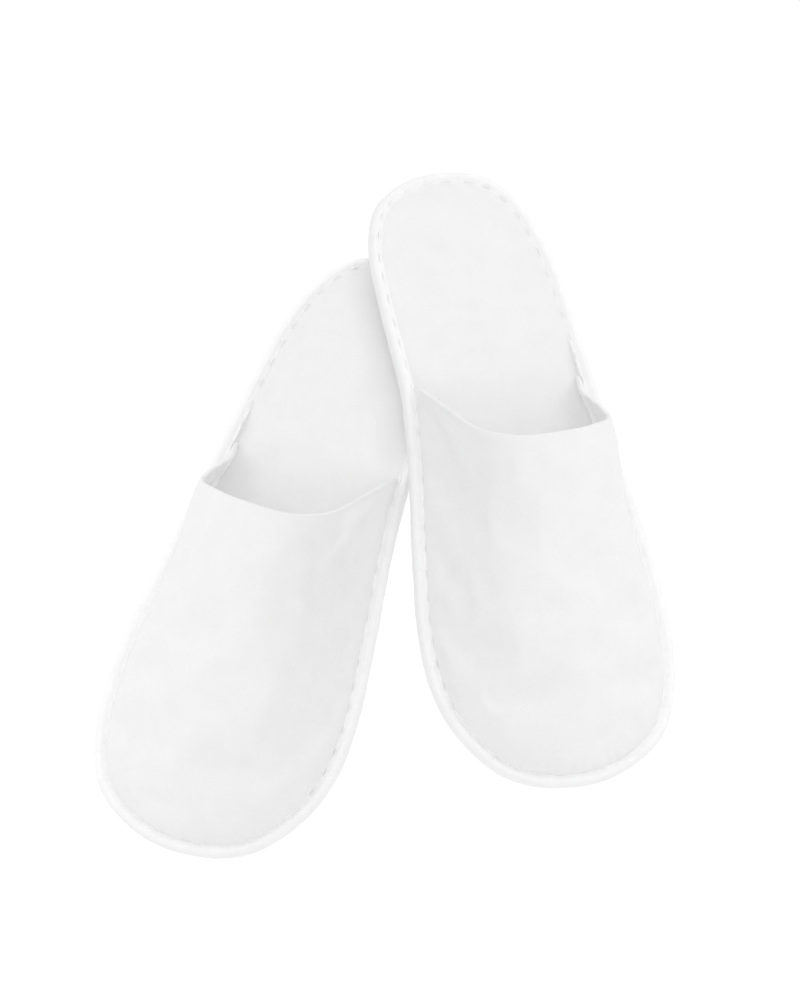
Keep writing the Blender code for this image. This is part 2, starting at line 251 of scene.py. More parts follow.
def with_height(points, height):
    """(across, distance) points with a height added, one for each or one for all."""
    height = np.broadcast_to(height, points.shape[:-1])
    return np.concatenate([points, height[..., None]], axis=-1)


def closed_skin(name, outer, inner):
    """A closed mesh between two grids of the same size, joined round their edge."""
    rows, columns = outer.shape[:2]
    count = rows * columns
    faces = grid_faces(rows, columns, False, False)
    index = np.arange(count).reshape(rows, columns)
    border = np.concatenate([
        index[0, :-1], index[:-1, -1], index[-1, :0:-1], index[:0:-1, 0],
    ])
    following = np.roll(border, -1)
    sides = np.stack([border, following, following + count, border + count], axis=-1)
    faces = np.concatenate([faces, faces[:, ::-1] + count, sides])
    points = np.concatenate([outer.reshape(-1, 3), inner.reshape(-1, 3)])
    return make_mesh(name, points, faces)


# ---- the sole ----
SOLE_INSET = 2.2
GRIP_PITCH = 9.0
GRIP_DEPTH = 0.45
GRIP_GROOVE_SHARE = 0.5
GRIP_MARGIN = (7.5, 9.5)
UNDER_TAPE_TUCK = 1.6
UNDER_TAPE_EDGE = (5.2, 8.2)
CUSHION_INSET = 2.4
CUSHION_SQUEEZE = 1.2
CUSHION_SQUEEZE_REACH = 3.4
COVER_INSET = SEAM_INSET + 0.4
COVER_RISE = 0.05
COVER_SWELL = 0.2
COVER_UNEVENNESS = 0.16
COVER_WAVES = ((61, 47), (38, 83), (97, 29), (23, 31))


def ladder(inset, rows, columns):
    """Points inside the outline: rows run across the sole, from the heel to the toe.

    Returns the points, (rows, columns, 2), and how far each is from the outline.
    """
    crowding = 0.6
    half = np.linspace(0, 1, rows + 2)[1:-1]
    toe = float(np.argmax(RIM[:, 1])) / RIM_STEPS
    inner = rim(half * toe, np.full(rows, inset))
    outer = rim(1 - half * (1 - toe), np.full(rows, inset))
    even = np.linspace(0, 1, columns)
    crowded = 0.5 * (1 - np.cos(math.pi * even))
    across = (crowding * crowded + (1 - crowding) * even)[None, :, None]
    points = outer[:, None] * (1 - across) + inner[:, None] * across
    depth, _ = nearest_rim(points)
    return points, depth


def footbed_mesh():
    """The cover underfoot: swollen a little beside the tape, faintly uneven inside it."""
    points, depth = ladder(COVER_INSET, 300, 120)
    across, distance = points[..., 0], points[..., 1]
    soft = ripple(distance, across, 3, COVER_WAVES)
    height = FOOTBED_TOP + COVER_RISE + COVER_SWELL * bump(depth, TAPE_WIDTH + 1.2, 2.2)
    height = height + COVER_UNEVENNESS * soft * smooth_step(depth, 6, 16)
    under = with_height(points, height - FOOTBED_THICKNESS)
    return closed_skin("footbed", with_height(points, height), under)


def cushion_mesh():
    """The foam under the footbed, squeezed along the seam."""
    points, depth = ladder(CUSHION_INSET, 120, 50)
    from_edge = np.maximum(depth - CUSHION_INSET, 0)
    height = CUSHION_TOP - CUSHION_SQUEEZE * np.exp(-from_edge / CUSHION_SQUEEZE_REACH)
    under = with_height(points, CUSHION_BOTTOM)
    return closed_skin("cushion", with_height(points, height), under)


def outsole_mesh():
    """The foam sheet on the floor, with a moulded grip of crossed grooves."""
    points, depth = ladder(SOLE_INSET, 440, 200)
    across, distance = points[..., 0], points[..., 1]
    one = np.abs(np.sin(math.pi * (across + distance) / GRIP_PITCH))
    other = np.abs(np.sin(math.pi * (across - distance) / GRIP_PITCH))
    groove = np.maximum(1 - one / GRIP_GROOVE_SHARE, 0)
    groove = groove + np.maximum(1 - other / GRIP_GROOVE_SHARE, 0)
    groove = smooth_step(np.minimum(groove, 1), 0, 0.8) * smooth_step(depth, *GRIP_MARGIN)
    tucked = UNDER_TAPE_TUCK * (1 - smooth_step(depth, *UNDER_TAPE_EDGE))
    under = with_height(points, GRIP_DEPTH * groove + tucked)
    return closed_skin("outsole", with_height(points, OUTSOLE_TOP), under)


# ---- the tape round the rim ----
RIM_SAMPLES = 1500
SECTION_SAMPLES = 3
TURN_SMOOTHING = 41
FINE_WAVES = ((5.3, 9.0), (3.7, 14.0), (8.9, 11.0))
BROAD_WAVES = ((27.0, 40.0), (17.0, 30.0), (43.0, 50.0))
GATHER = 0.03
GATHER_ON_BENDS = 0.07
PINCH = 0.06
PINCH_AT_STITCH = 0.05
SEAM_SHIFT = 0.4
JOIN = rim_fraction(181, inner_side=False)
TAPE_OVERLAP = 16.0
OVERLAP_RISE = 0.35
OVERLAP_SWELL = 0.2
STITCH_PITCH = 10.4
STITCH_COUNT = int(RIM_LENGTH // STITCH_PITCH)
STITCH_STEP = RIM_LENGTH / STITCH_COUNT


def tape_top(fraction):
    """The height of the tape's top: higher where the upper is sewn in under it."""
    return HEEL_TAPE_TOP + (VAMP_TAPE_TOP - HEEL_TAPE_TOP) * upper_share(fraction)


def tape_profile(top, share):
    """The folded tape's section as control points (inset, height), rows by fraction.

    From its upper inner edge over the top, down the outer wall, under the sole and back.
    """
    lip = 5.9
    ones = np.ones_like(top)
    places = [
        (TAPE_WIDTH - 0.1, lip), (TAPE_WIDTH + 0.15, (lip + top) / 2 - 0.1),
        (TAPE_WIDTH - 0.2, top - 0.85 + 0.3 * share), (SEAM_INSET + 0.55, top - 0.6),
        (SEAM_INSET - 0.2, top - 0.45), (SEAM_INSET - 1.1, top - 0.1), (2.5, top + 0.12),
        (1.15, top - 0.45), (0.25, top - 1.9), (-0.05, 0.5 * top + 0.2), (0.15, 2.5),
        (1.0, 1.15), (2.5, 0.72), (SEAM_INSET, 1.0), (TAPE_WIDTH - 0.1, 0.7),
        (TAPE_WIDTH + 0.1, 1.3), (TAPE_WIDTH - 1.2, 1.75), (1.9, 2.2), (1.9, top - 1.7),
        (TAPE_WIDTH - 1.4, top - 1.35),
    ]
    return [np.stack([inset * ones, height * ones], axis=-1) for inset, height in places]


def section_curve(controls):
    """A closed smooth curve through each row's control points."""
    count = controls.shape[1]
    places = []
    for index in range(count):
        a, b, c, d = (controls[:, (index + k) % count] for k in (-1, 0, 1, 2))
        for t in np.linspace(0, 1, SECTION_SAMPLES, endpoint=False):
            places.append(0.5 * (
                2 * b + (c - a) * t + (2 * a - 5 * b + 4 * c - d) * t * t
                + (3 * b - 3 * c + d - a) * t * t * t
            ))
    return np.stack(places, axis=1)


def bend_share(fraction):
    """How sharply the outline turns: 0 where it is straight, about 1 round heel and toe."""
    heading = np.unwrap(np.arctan2(RIM_TANGENT[:, 1], RIM_TANGENT[:, 0]))
    turning = np.abs(np.gradient(heading))
    turning = np.interp(fraction * RIM_STEPS, np.arange(RIM_STEPS), turning)
    turning = np.clip(turning / np.percentile(turning, 90), 0, 1.3)
    kernel = np.ones(TURN_SMOOTHING) / TURN_SMOOTHING
    around = np.convolve(np.tile(turning, 3), kernel, mode="same")
    return around[len(fraction):2 * len(fraction)]


def seam_place(fraction):
    """How far in the seam runs: a little further where the upper's edge is sewn in."""
    return SEAM_INSET + SEAM_SHIFT * upper_share(fraction)


def binding_grid():
    """Rows along the rim, columns round the tape's section, with gathers and a join."""
    fraction = np.arange(RIM_SAMPLES) / RIM_SAMPLES
    controls = np.stack(tape_profile(tape_top(fraction), upper_share(fraction)), axis=1)
    section = section_curve(controls)
    inset, height = section[..., 0], section[..., 1]
    along = fraction[:, None] * RIM_LENGTH
    upper_side = smooth_step(height, 2.5, 6.0)
    inner_part = smooth_step(inset, 0.5, 4.2)
    fine = ripple(along, inset, 5, FINE_WAVES)
    broad = ripple(along, inset, 11, BROAD_WAVES)
    gather = GATHER + GATHER_ON_BENDS * bend_share(fraction)[:, None]
    height = height + upper_side * (gather * fine * (0.35 + 0.65 * inner_part) + 0.12 * broad)
    inset = inset + upper_side * smooth_step(inset, 3.0, 6.0) * (0.15 * broad + 0.05 * fine)
    inset = inset + (1 - inner_part) * (0.10 * broad + 0.05 * fine)
    stitch = np.cos(2 * math.pi * along / STITCH_STEP)
    pinched = bump(inset, seam_place(fraction)[:, None], 1.0) * upper_side
    height = height - pinched * (PINCH + PINCH_AT_STITCH * stitch)
    past_join = smooth_step(fraction, JOIN, JOIN + 0.8 / RIM_LENGTH)[:, None]
    past_end = smooth_step(fraction, JOIN, JOIN + TAPE_OVERLAP / RIM_LENGTH)[:, None]
    join = past_join * (1 - past_end)
    height = height + OVERLAP_RISE * (upper_side * join)
    inset = inset - OVERLAP_SWELL * (1 - inner_part) * join
    place = rim(np.broadcast_to(fraction[:, None], inset.shape), inset)
    return with_height(place, height)


def binding_mesh():
    """The tape as one closed ring."""
    grid = binding_grid()
    faces = grid_faces(grid.shape[0], grid.shape[1], True, True)
    return make_mesh("binding", grid, faces)


# ---- stitches ----
STITCH_LENGTH = 5.6
STITCH_POINTS = 13
STITCH_SINK = 1.2
STITCH_ARCH = 1.08
STITCH_ARCH_ON_UPPER = 0.78
BOBBIN_END = 1.5
BOBBIN_ARCH = 0.62
STITCH_WANDER = 0.12
STITCH_SLIP = 0.35
THREAD_DIAMETER = 0.62
THREAD_SIDES = 7
THREAD_TURNS = 2.5
PLY_SHARE = 0.62


def stitch_points(start, over):
    """The middle line of one stitch, which dives into the tape at both ends."""
    steps = np.linspace(0, 1, STITCH_POINTS)
    fraction = (start + steps * STITCH_LENGTH) / RIM_LENGTH
    arch = 1 - (2 * steps - 1) ** 4
    if over:
        fall = (STITCH_ARCH - STITCH_ARCH_ON_UPPER) * upper_share(fraction)
        height = tape_top(fraction) - STITCH_SINK + (STITCH_ARCH - fall) * arch
    else:
        height = BOBBIN_END - BOBBIN_ARCH * arch
    wander = STITCH_WANDER * np.sin(start * 1.7)
    return with_height(rim(fraction, seam_place(fraction) + wander), height)


def twisted_tube(line, radius, sides, turns, phase):
    """Two plies of thread twisted round a line, each a closed tube."""
    points, faces, offset = [], [], 0
    direction = np.gradient(line, axis=0)
    direction /= np.linalg.norm(direction, axis=1)[:, None]
    side = np.cross(direction, (0.0, 0.0, 1.0))
    side /= np.linalg.norm(side, axis=1)[:, None]
    up = np.cross(side, direction)
    travel = np.linspace(0, 1, len(line))
    for ply in (0.0, math.pi):
        angle = phase + ply + 2 * math.pi * turns * travel
        swing = np.cos(angle)[:, None] * side + np.sin(angle)[:, None] * up
        centre = line + 0.5 * radius * swing
        around = (np.arange(sides) * 2 * math.pi / sides)[None, :, None]
        ring = np.cos(around) * side[:, None] + np.sin(around) * up[:, None]
        tube = centre[:, None] + PLY_SHARE * radius * ring
        points.append(tube.reshape(-1, 3))
        quads = grid_faces(len(line), sides, False, True) + offset
        faces.extend(quads[:, ::-1].tolist())
        first = list(range(offset, offset + sides))
        last = [offset + (len(line) - 1) * sides + k for k in range(sides)]
        faces.append(first[::-1])
        faces.append(last)
        offset += len(line) * sides
    return np.concatenate(points), faces


def seam_mesh(name, over):
    """Every stitch on one side of the seam, in one mesh."""
    points, faces, offset = [], [], 0
    for index in range(STITCH_COUNT):
        slip = STITCH_SLIP * math.sin(index * 2.1) + (0 if over else STITCH_STEP / 2)
        line = stitch_points(index * STITCH_STEP - STITCH_LENGTH / 2 + slip, over)
        start_angle = index * 1.3
        tube, quads = twisted_tube(
            line, THREAD_DIAMETER / 2, THREAD_SIDES, THREAD_TURNS, start_angle)
        points.append(tube)
        faces.extend([[corner + offset for corner in quad] for quad in quads])
        offset += len(tube)
    return make_mesh(name, np.concatenate(points), faces)


# ---- the upper ----
# Depths and distances are in millimetres. Places and spreads are shares of (s, t), which are
# described in upper_surface.
UPPER_INSET = 5.3
UPPER_BASE = 8.6
CORNER_FLARE = 0.8
SKIRT_FOOT = 6.0
CORNER_SHARE = 0.005
EDGE_RADIUS = 1.15
HEM_DEPTH = 9.0
SHELL_SKIN = 0.55
PADDING_LAYER = (0.62, 1.15)
LINING_LAYER = (1.2, 1.7)
UPPER_ROWS = 190
UPPER_COLUMNS = 200
FULLNESS_GAIN = 0.45
VALLEY_DEPTH = 6.2
VALLEY_PLACE = (0.19, 0.08)
VALLEY_SPREAD = (0.1, 0.22)
INNER_SWELL = 3.5
SWELL_PLACE = 0.8
SWELL_SPREAD = 0.13
PUCKER_WAVES = ((9.7, 60), (6.1, 80), (14.3, 50), (21.0, 70))
PUCKER_REACH = 7.0
SOFT_WAVES = ((83, 61), (57, 90), (41, 45))
OPENING_CURVE = catmull_rom(OPENING, SPLINE_SAMPLES, closed=False)
CREST = OPENING_CURVE[:, 2].max() - MARGIN_TOP


def seam_inset(t):
    """How far in the upper's edge lies on the inner side: further in at the opening's corner."""
    return UPPER_INSET + CORNER_FLARE * (1 - smooth_step(t, 0, 0.05))


def opening_at(s):
    """The opening's edge at s, from its outer end (0) to its inner end (1)."""
    place = np.asarray(s) * (len(OPENING_CURVE) - 1)
    steps = np.arange(len(OPENING_CURVE))
    return np.stack([np.interp(place, steps, column) for column in OPENING_CURVE.T], axis=-1)


def upper_surface(s, t):
    """Outer face of the upper at s (outer side 0, inner side 1) and t (opening 0, toe 1)."""
    s, t = np.broadcast_arrays(np.asarray(s, dtype=float), np.asarray(t, dtype=float))
    inset = np.full(s.shape, UPPER_INSET)
    opening = opening_at(s)
    toe = rim(OUTER_TOE + (INNER_TOE - OUTER_TOE) * s, inset)
    outer = rim(OUTER_CORNER + (OUTER_TOE - OUTER_CORNER) * t, inset)
    inner = rim(INNER_CORNER + (INNER_TOE - INNER_CORNER) * t, seam_inset(t))
    a, b = s[..., None], t[..., None]
    start = (1 - a) * OPENING_CURVE[0, :2] + a * OPENING_CURVE[-1, :2]
    outer_end, inner_end = rim(OUTER_TOE, UPPER_INSET), rim(INNER_TOE, UPPER_INSET)
    end = (1 - a) * outer_end + a * inner_end
    plan = (1 - b) * opening[..., :2] + b * toe + (1 - a) * outer + a * inner
    plan = plan - (1 - b) * start - b * end
    plan[..., 0] += INNER_SWELL * 4 * t * (1 - t) * bump(s, SWELL_PLACE, SWELL_SPREAD)
    rise = np.maximum(opening[..., 2] - MARGIN_TOP, 0) / CREST
    valley = VALLEY_DEPTH * bump(s, VALLEY_PLACE[0], VALLEY_SPREAD[0])
    valley = valley * bump(t, VALLEY_PLACE[1], VALLEY_SPREAD[1]) * smooth_step(t, 0, 0.06)
    height = UPPER_BASE + CREST * rise ** (1 - FULLNESS_GAIN * t) * np.sqrt(1 - t) - valley
    return with_height(plan, height)


def even_columns(count):
    """Values of s that are evenly spaced along the opening's edge."""
    steps = np.linalg.norm(np.diff(OPENING_CURVE, axis=0), axis=1)
    along = np.concatenate([[0.0], np.cumsum(steps)])
    places = np.linspace(0, along[-1], count)
    return np.interp(places, along, np.linspace(0, 1, len(OPENING_CURVE)))


def with_skirt(grid, t):
    """The grid with a short wall down into the seam, along both sides and round the toe."""
    rows, columns = grid.shape[:2]
    foot = np.full(rows, UPPER_INSET)
    outer = rim(OUTER_CORNER + (OUTER_TOE + CORNER_SHARE - OUTER_CORNER) * t, foot)
    inner = rim(INNER_CORNER + (INNER_TOE - CORNER_SHARE - INNER_CORNER) * t, seam_inset(t))
    outer, inner = with_height(outer, SKIRT_FOOT), with_height(inner, SKIRT_FOOT)
    grid = np.concatenate([outer[:, None], grid, inner[:, None]], axis=1)
    share = np.linspace(0, 1, columns)
    start, end = OUTER_TOE - CORNER_SHARE, INNER_TOE + CORNER_SHARE
    fraction = np.concatenate([[OUTER_TOE], start + (end - start) * share, [INNER_TOE]])
    toe = with_height(rim(fraction, np.full(columns + 2, UPPER_INSET)), SKIRT_FOOT)
    return np.concatenate([grid, toe[None]], axis=0)


def creases(grid):
    """How far the cloth stands off its smooth shape: puckers by the seam, soft waves."""
    depth, along = nearest_rim(grid[..., :2])
    across, distance = grid[..., 0], grid[..., 1]
    toe_side = smooth_step(distance, 150, 235)
    puckers = ripple(along, depth, 17, PUCKER_WAVES)
    near_seam = np.exp(-np.maximum(depth - UPPER_INSET, 0) / PUCKER_REACH)
    near_seam = near_seam * smooth_step(grid[..., 2], UPPER_BASE, UPPER_BASE + 2.5)
    waves = ripple(distance, across, 23, SOFT_WAVES)
    dimple = bump(across, -15, 9) * bump(distance, 246, 8)
    swell = bump(across, 36, 12) * bump(distance, 229, 13)
    away = smooth_step(depth, 6.5, 20)
    offset = (0.22 - 0.06 * toe_side) * puckers * near_seam
    return offset + away * 0.45 * waves - 1.3 * dimple + 0.7 * swell


# ---- the cloth simulation of the upper ----
RELAX_STEP = 3
RELAX_FRAMES = 20
RELAX_CAP = 2.2
RELAX_SMOOTHING = 4
RELAX_FADE = {"sides": 0.07, "toe": 0.07, "opening": 0.04}
CLOTH = {
    "quality": 8, "mass": 0.1, "tension_stiffness": 12, "compression_stiffness": 12,
    "shear_stiffness": 4, "bending_stiffness": 2.0, "air_damping": 4,
    "use_pressure": True, "uniform_pressure_force": 1.2, "shrink_min": -0.012,
}


def settled_cloth(coarse):
    """The coarse grid after a cloth simulation: sewn all round, slightly full, puffed out.

    Gravity is off, so the cloth only takes up its fullness under a light pressure.
    """
    rows, columns = coarse.shape[:2]
    mesh = make_mesh("relaxing", coarse, grid_faces(rows, columns, False, False))
    cloth = bpy.data.objects.new("relaxing", mesh)
    scene = bpy.context.scene
    scene.collection.objects.link(cloth)
    index = np.arange(rows * columns).reshape(rows, columns)
    sewn = np.concatenate([index[-1], index[:, 0], index[:, -1], index[0]])
    cloth.vertex_groups.new(name="sewn").add([int(i) for i in sewn], 1.0, "REPLACE")
    settings = cloth.modifiers.new("cloth", "CLOTH").settings
    for name, value in CLOTH.items():
        setattr(settings, name, value)
    settings.vertex_group_mass = "sewn"
    settings.effector_weights.gravity = 0.0
    for step in range(1, RELAX_FRAMES + 1):
        scene.frame_set(step)
    graph = bpy.context.evaluated_depsgraph_get()
    settled = cloth.evaluated_get(graph).to_mesh()
    places = np.empty(len(settled.vertices) * 3)
    settled.vertices.foreach_get("co", places)
    scene.frame_set(1)
    bpy.data.objects.remove(cloth)
    bpy.data.meshes.remove(mesh)
    return places.reshape(coarse.shape) / (MM, -MM, MM)


def relaxed(grid):
    """The grid moved as the simulated cloth moves.

    Every third row and column is simulated. The movement is smoothed, capped, faded out
    along the seam and the opening, and spread over the whole grid.
    """
    rows, columns = (
        np.unique(np.append(np.arange(0, count, RELAX_STEP), count - 1))
        for count in grid.shape[:2]
    )
    coarse = grid[np.ix_(rows, columns)]
    moved = settled_cloth(coarse) - coarse
    for _ in range(RELAX_SMOOTHING):
        wide = np.pad(moved, ((1, 1), (1, 1), (0, 0)), mode="edge")
        around = wide[:-2, 1:-1] + wide[2:, 1:-1] + wide[1:-1, :-2] + wide[1:-1, 2:]
        moved = 0.5 * moved + 0.125 * around
    far = np.linalg.norm(moved, axis=-1, keepdims=True)
    moved = moved * np.minimum(1, RELAX_CAP / np.maximum(far, 1e-6))
    across = np.linspace(0, 1, grid.shape[1])
    down = np.linspace(0, 1, grid.shape[0])
    sides = RELAX_FADE["sides"]
    side = smooth_step(across, 0, sides) * smooth_step(1 - across, 0, sides)
    end = smooth_step(1 - down, 0, RELAX_FADE["toe"]) * smooth_step(down, 0, RELAX_FADE["opening"])
    fade = side[None, :, None] * end[:, None, None]
    return grid + fade * spread_out(moved, rows, columns, grid.shape)


def spread_out(moved, rows, columns, shape):
    """Movement known at some rows and columns, carried smoothly to all of them."""
    along = np.stack([
        smooth_interpolate(np.arange(shape[0]), rows, moved[:, column])
        for column in range(len(columns))
    ], axis=1)
    return np.stack([
        smooth_interpolate(np.arange(shape[1]), columns, along[row])
        for row in range(shape[0])
    ], axis=0)


def smooth_interpolate(places, knots, values):
    """A smooth curve through the values at the knots, at every place."""
    span = np.clip(np.searchsorted(knots, places, side="right") - 1, 0, len(knots) - 2)
    left, right = knots[span], knots[span + 1]
    mix = ((places - left) / (right - left))[:, None]
    here, there = values[span], values[span + 1]
    before = values[np.maximum(span - 1, 0)]
    after = values[np.minimum(span + 2, len(knots) - 1)]
    return 0.5 * (
        2 * here + (there - before) * mix + (2 * before - 5 * here + 4 * there - after) * mix ** 2
        + (3 * here - 3 * there + after - before) * mix ** 3
    )


def upper_face():
    """The outer face as a grid, rows from the opening to the toe, and the rows' t."""
    t = 1 - (1 - np.linspace(0, 1, UPPER_ROWS)) ** 2
    s = even_columns(UPPER_COLUMNS)
    smooth = upper_surface(s[None, :], t[:, None])
    grid = smooth + normals_of(smooth) * creases(smooth)[..., None]
    return (relaxed(grid)), t


def sunk(grid, normal, depth):
    """The grid moved below its surface."""
    return grid - normal * depth


# The hem reaches at most this many rows down from the opening.
HEM_SEARCH_ROWS = 40
HEM_ROWS = 9
WRAP_ROWS = 8


def hem_rows(full, normal):
    """The turned-in hem, on the upper's inner side, from its deepest row to the edge."""
    steps = np.linalg.norm(np.diff(full[:HEM_SEARCH_ROWS], axis=0), axis=-1)
    reach = np.concatenate([np.zeros((1, full.shape[1])), np.cumsum(steps, axis=0)])
    hem = []
    for inside in np.linspace(HEM_DEPTH, 0, HEM_ROWS + 1)[:-1]:
        row = []
        for column in range(full.shape[1]):
            index = np.interp(inside, reach[:, column], np.arange(len(reach)))
            low = int(index)
            mix = index - low
            place = full[low, column] * (1 - mix) + full[low + 1, column] * mix
            turn = normal[low, column] * (1 - mix) + normal[low + 1, column] * mix
            row.append(place - 2 * EDGE_RADIUS * turn)
        hem.append(row)
    return np.array(hem)


def wrap_rows(full, normal):
    """The rounded fold over the opening's edge."""
    edge, edge_normal = full[0], normal[0]
    outward = full[0] - full[1]
    outward = outward - (outward * edge_normal).sum(axis=-1, keepdims=True) * edge_normal
    outward /= np.linalg.norm(outward, axis=-1, keepdims=True)
    centre = edge - EDGE_RADIUS * edge_normal
    return np.array([
        centre + EDGE_RADIUS * (math.cos(angle) * edge_normal + math.sin(angle) * outward)
        for angle in np.linspace(math.pi, 0, WRAP_ROWS + 1)[:-1]
    ])


def shell_mesh(grid, t):
    """The outer fabric with its hem turned over the opening's edge and back inside."""
    full = with_skirt(grid, t)
    normal = normals_of(full)
    path = np.concatenate([hem_rows(full, normal), wrap_rows(full, normal), full])
    return closed_skin("shell", path, sunk(path, normals_of(path), SHELL_SKIN))


def layer_mesh(name, grid, t, layer):
    """A layer inside the shell, between two depths, that starts just inside the edge."""
    full = with_skirt(grid, t)
    normal = normals_of(full)
    kept, turned = full[2:], normal[2:]
    return closed_skin(name, sunk(kept, turned, layer[0]), sunk(kept, turned, layer[1]))


# ---- materials ----
def new_material(name, colour, roughness, sheen):
    """A Principled material, its shader and the object coordinates that patterns use."""
    material = bpy.data.materials.new(name)
    material.use_nodes = True
    tree = material.node_tree
    shader = tree.nodes["Principled BSDF"]
    shader.inputs["Base Color"].default_value = (*colour, 1.0)
    shader.inputs["Roughness"].default_value = roughness
    shader.inputs["Sheen Weight"].default_value = sheen
    shader.inputs["Sheen Roughness"].default_value = 0.6
    shader.inputs["Specular IOR Level"].default_value = 0.25
    place = tree.nodes.new("ShaderNodeTexCoord").outputs["Object"]
    return material, tree, shader, place


def noise(tree, place, scale, detail, roughness, stretch=(1.0, 1.0, 1.0)):
    """A noise pattern, `scale` features to the metre, stretched along the axes."""
    mapping = tree.nodes.new("ShaderNodeMapping")
    mapping.inputs["Scale"].default_value = stretch
    tree.links.new(place, mapping.inputs["Vector"])
    texture = tree.nodes.new("ShaderNodeTexNoise")
    texture.inputs["Scale"].default_value = scale
    texture.inputs["Detail"].default_value = detail
    texture.inputs["Roughness"].default_value = roughness
    tree.links.new(mapping.outputs["Vector"], texture.inputs["Vector"])
    return texture.outputs["Fac"]


def add_up(tree, first, second, share):
    """first + share * second."""
    node = tree.nodes.new("ShaderNodeMath")
    node.operation = "MULTIPLY_ADD"
    node.inputs[1].default_value = share
    tree.links.new(second, node.inputs[0])
    tree.links.new(first, node.inputs[2])
    return node.outputs["Value"]


def mottle(tree, shader, pattern, dark, light, low=0.3, high=0.7):
    """The base colour runs from dark to light with the pattern."""
    ramp = tree.nodes.new("ShaderNodeValToRGB")
    ramp.color_ramp.elements[0].position = low
    ramp.color_ramp.elements[0].color = (*dark, 1.0)
    ramp.color_ramp.elements[1].position = high
    ramp.color_ramp.elements[1].color = (*light, 1.0)
    tree.links.new(pattern, ramp.inputs["Fac"])
    tree.links.new(ramp.outputs["Color"], shader.inputs["Base Color"])


def relief(tree, shader, pattern, height):
    """Fine relief of the given height in metres."""
    bump_node = tree.nodes.new("ShaderNodeBump")
    bump_node.inputs["Strength"].default_value = 1.0
    bump_node.inputs["Distance"].default_value = height
    tree.links.new(pattern, bump_node.inputs["Height"])
    tree.links.new(bump_node.outputs["Normal"], shader.inputs["Normal"])


def grey(level, warmth=0.0):
    """A grey colour, warmer if asked."""
    return (level + warmth, level, level - warmth)


def brushed_fabric(name, level, nap):
    """Brushed non-woven fabric: short tangled fibres over soft, cloudy unevenness."""
    material, tree, shader, place = new_material(name, grey(level), 0.95, 0.25)
    fibres = noise(tree, place, 1700, 4, 0.7)
    streaks = noise(tree, place, 900, 3, 0.65, stretch=(1.0, 0.25, 1.0))
    clouds = noise(tree, place, 95, 4, 0.6)
    pattern = add_up(tree, clouds, fibres, 0.45)
    mottle(tree, shader, pattern, grey(level - 0.02), grey(level + 0.012), 0.45, 1.0)
    relief(tree, shader, add_up(tree, fibres, streaks, 0.6), nap)
    return material


def tape_fabric(name, level):
    """Smooth folded tape: finer and a little shinier than the brushed fabric."""
    material, tree, shader, place = new_material(name, grey(level), 0.8, 0.15)
    fine = noise(tree, place, 2300, 3, 0.6)
    clouds = noise(tree, place, 160, 3, 0.55)
    pattern = add_up(tree, clouds, fine, 0.35)
    mottle(tree, shader, pattern, grey(level - 0.025), grey(level + 0.015), 0.4, 0.95)
    relief(tree, shader, fine, 0.00005)
    return material


def sole_foam(name, level):
    """Closed-cell foam: matt, with fine cells."""
    material, tree, shader, place = new_material(name, grey(level), 0.75, 0.0)
    cells = tree.nodes.new("ShaderNodeTexVoronoi")
    cells.inputs["Scale"].default_value = 2400
    tree.links.new(place, cells.inputs["Vector"])
    clouds = noise(tree, place, 70, 3, 0.5)
    mottle(tree, shader, clouds, grey(level - 0.03, 0.002), grey(level + 0.01, 0.002))
    relief(tree, shader, cells.outputs["Distance"], 0.00005)
    return material


def soft_foam(name, level):
    """Open-cell foam: slightly yellow, with fine pores."""
    material, tree, shader, place = new_material(name, grey(level, 0.02), 0.95, 0.0)
    pores = noise(tree, place, 1500, 5, 0.75)
    mottle(tree, shader, pores, grey(level - 0.08, 0.02), grey(level, 0.02), 0.35, 0.6)
    relief(tree, shader, pores, 0.0002)
    return material


def spun_thread(name, level):
    """Spun thread: slightly shiny and hairy."""
    material, tree, shader, place = new_material(name, grey(level), 0.55, 0.2)
    hairs = noise(tree, place, 4200, 3, 0.7)
    mottle(tree, shader, hairs, grey(level - 0.06), grey(level), 0.35, 0.65)
    relief(tree, shader, hairs, 0.00004)
    return material


# ---- the object ----
LOOKS = {
    "sole_foam": sole_foam("sole_foam_look", 0.78),
    "cushion_foam": soft_foam("cushion_foam_look", 0.80),
    "footbed_fabric": brushed_fabric("footbed_fabric_look", 0.83, 0.00012),
    "lining_fabric": brushed_fabric("lining_fabric_look", 0.84, 0.00010),
    "shell_fabric": brushed_fabric("shell_fabric_look", 0.815, 0.00012),
    "binding_tape": tape_fabric("binding_tape_look", 0.87),
    "thread": spun_thread("thread_look", 0.95),
}

# How many places round the rim are compared with the CAD, and how far off, in metres, the
# sizes may be.
FIT_SAMPLES = 72
FIT_SLACK = 0.0006


def tape_outline():
    """Points on the CAD tape's outermost edges, in the slipper's own frame."""
    fraction = np.arange(FIT_SAMPLES) / FIT_SAMPLES
    top = tape_top(fraction)
    level = np.zeros(FIT_SAMPLES)
    edges = ((0.0, top - 1.6), (0.0, level + 2.4), (2.08, top), (TAPE_WIDTH, top),
             (1.6, level + 0.8), (TAPE_WIDTH, level + 0.8))
    return np.concatenate([
        with_height(rim(fraction, np.full(FIT_SAMPLES, inset)), height)
        for inset, height in edges
    ])


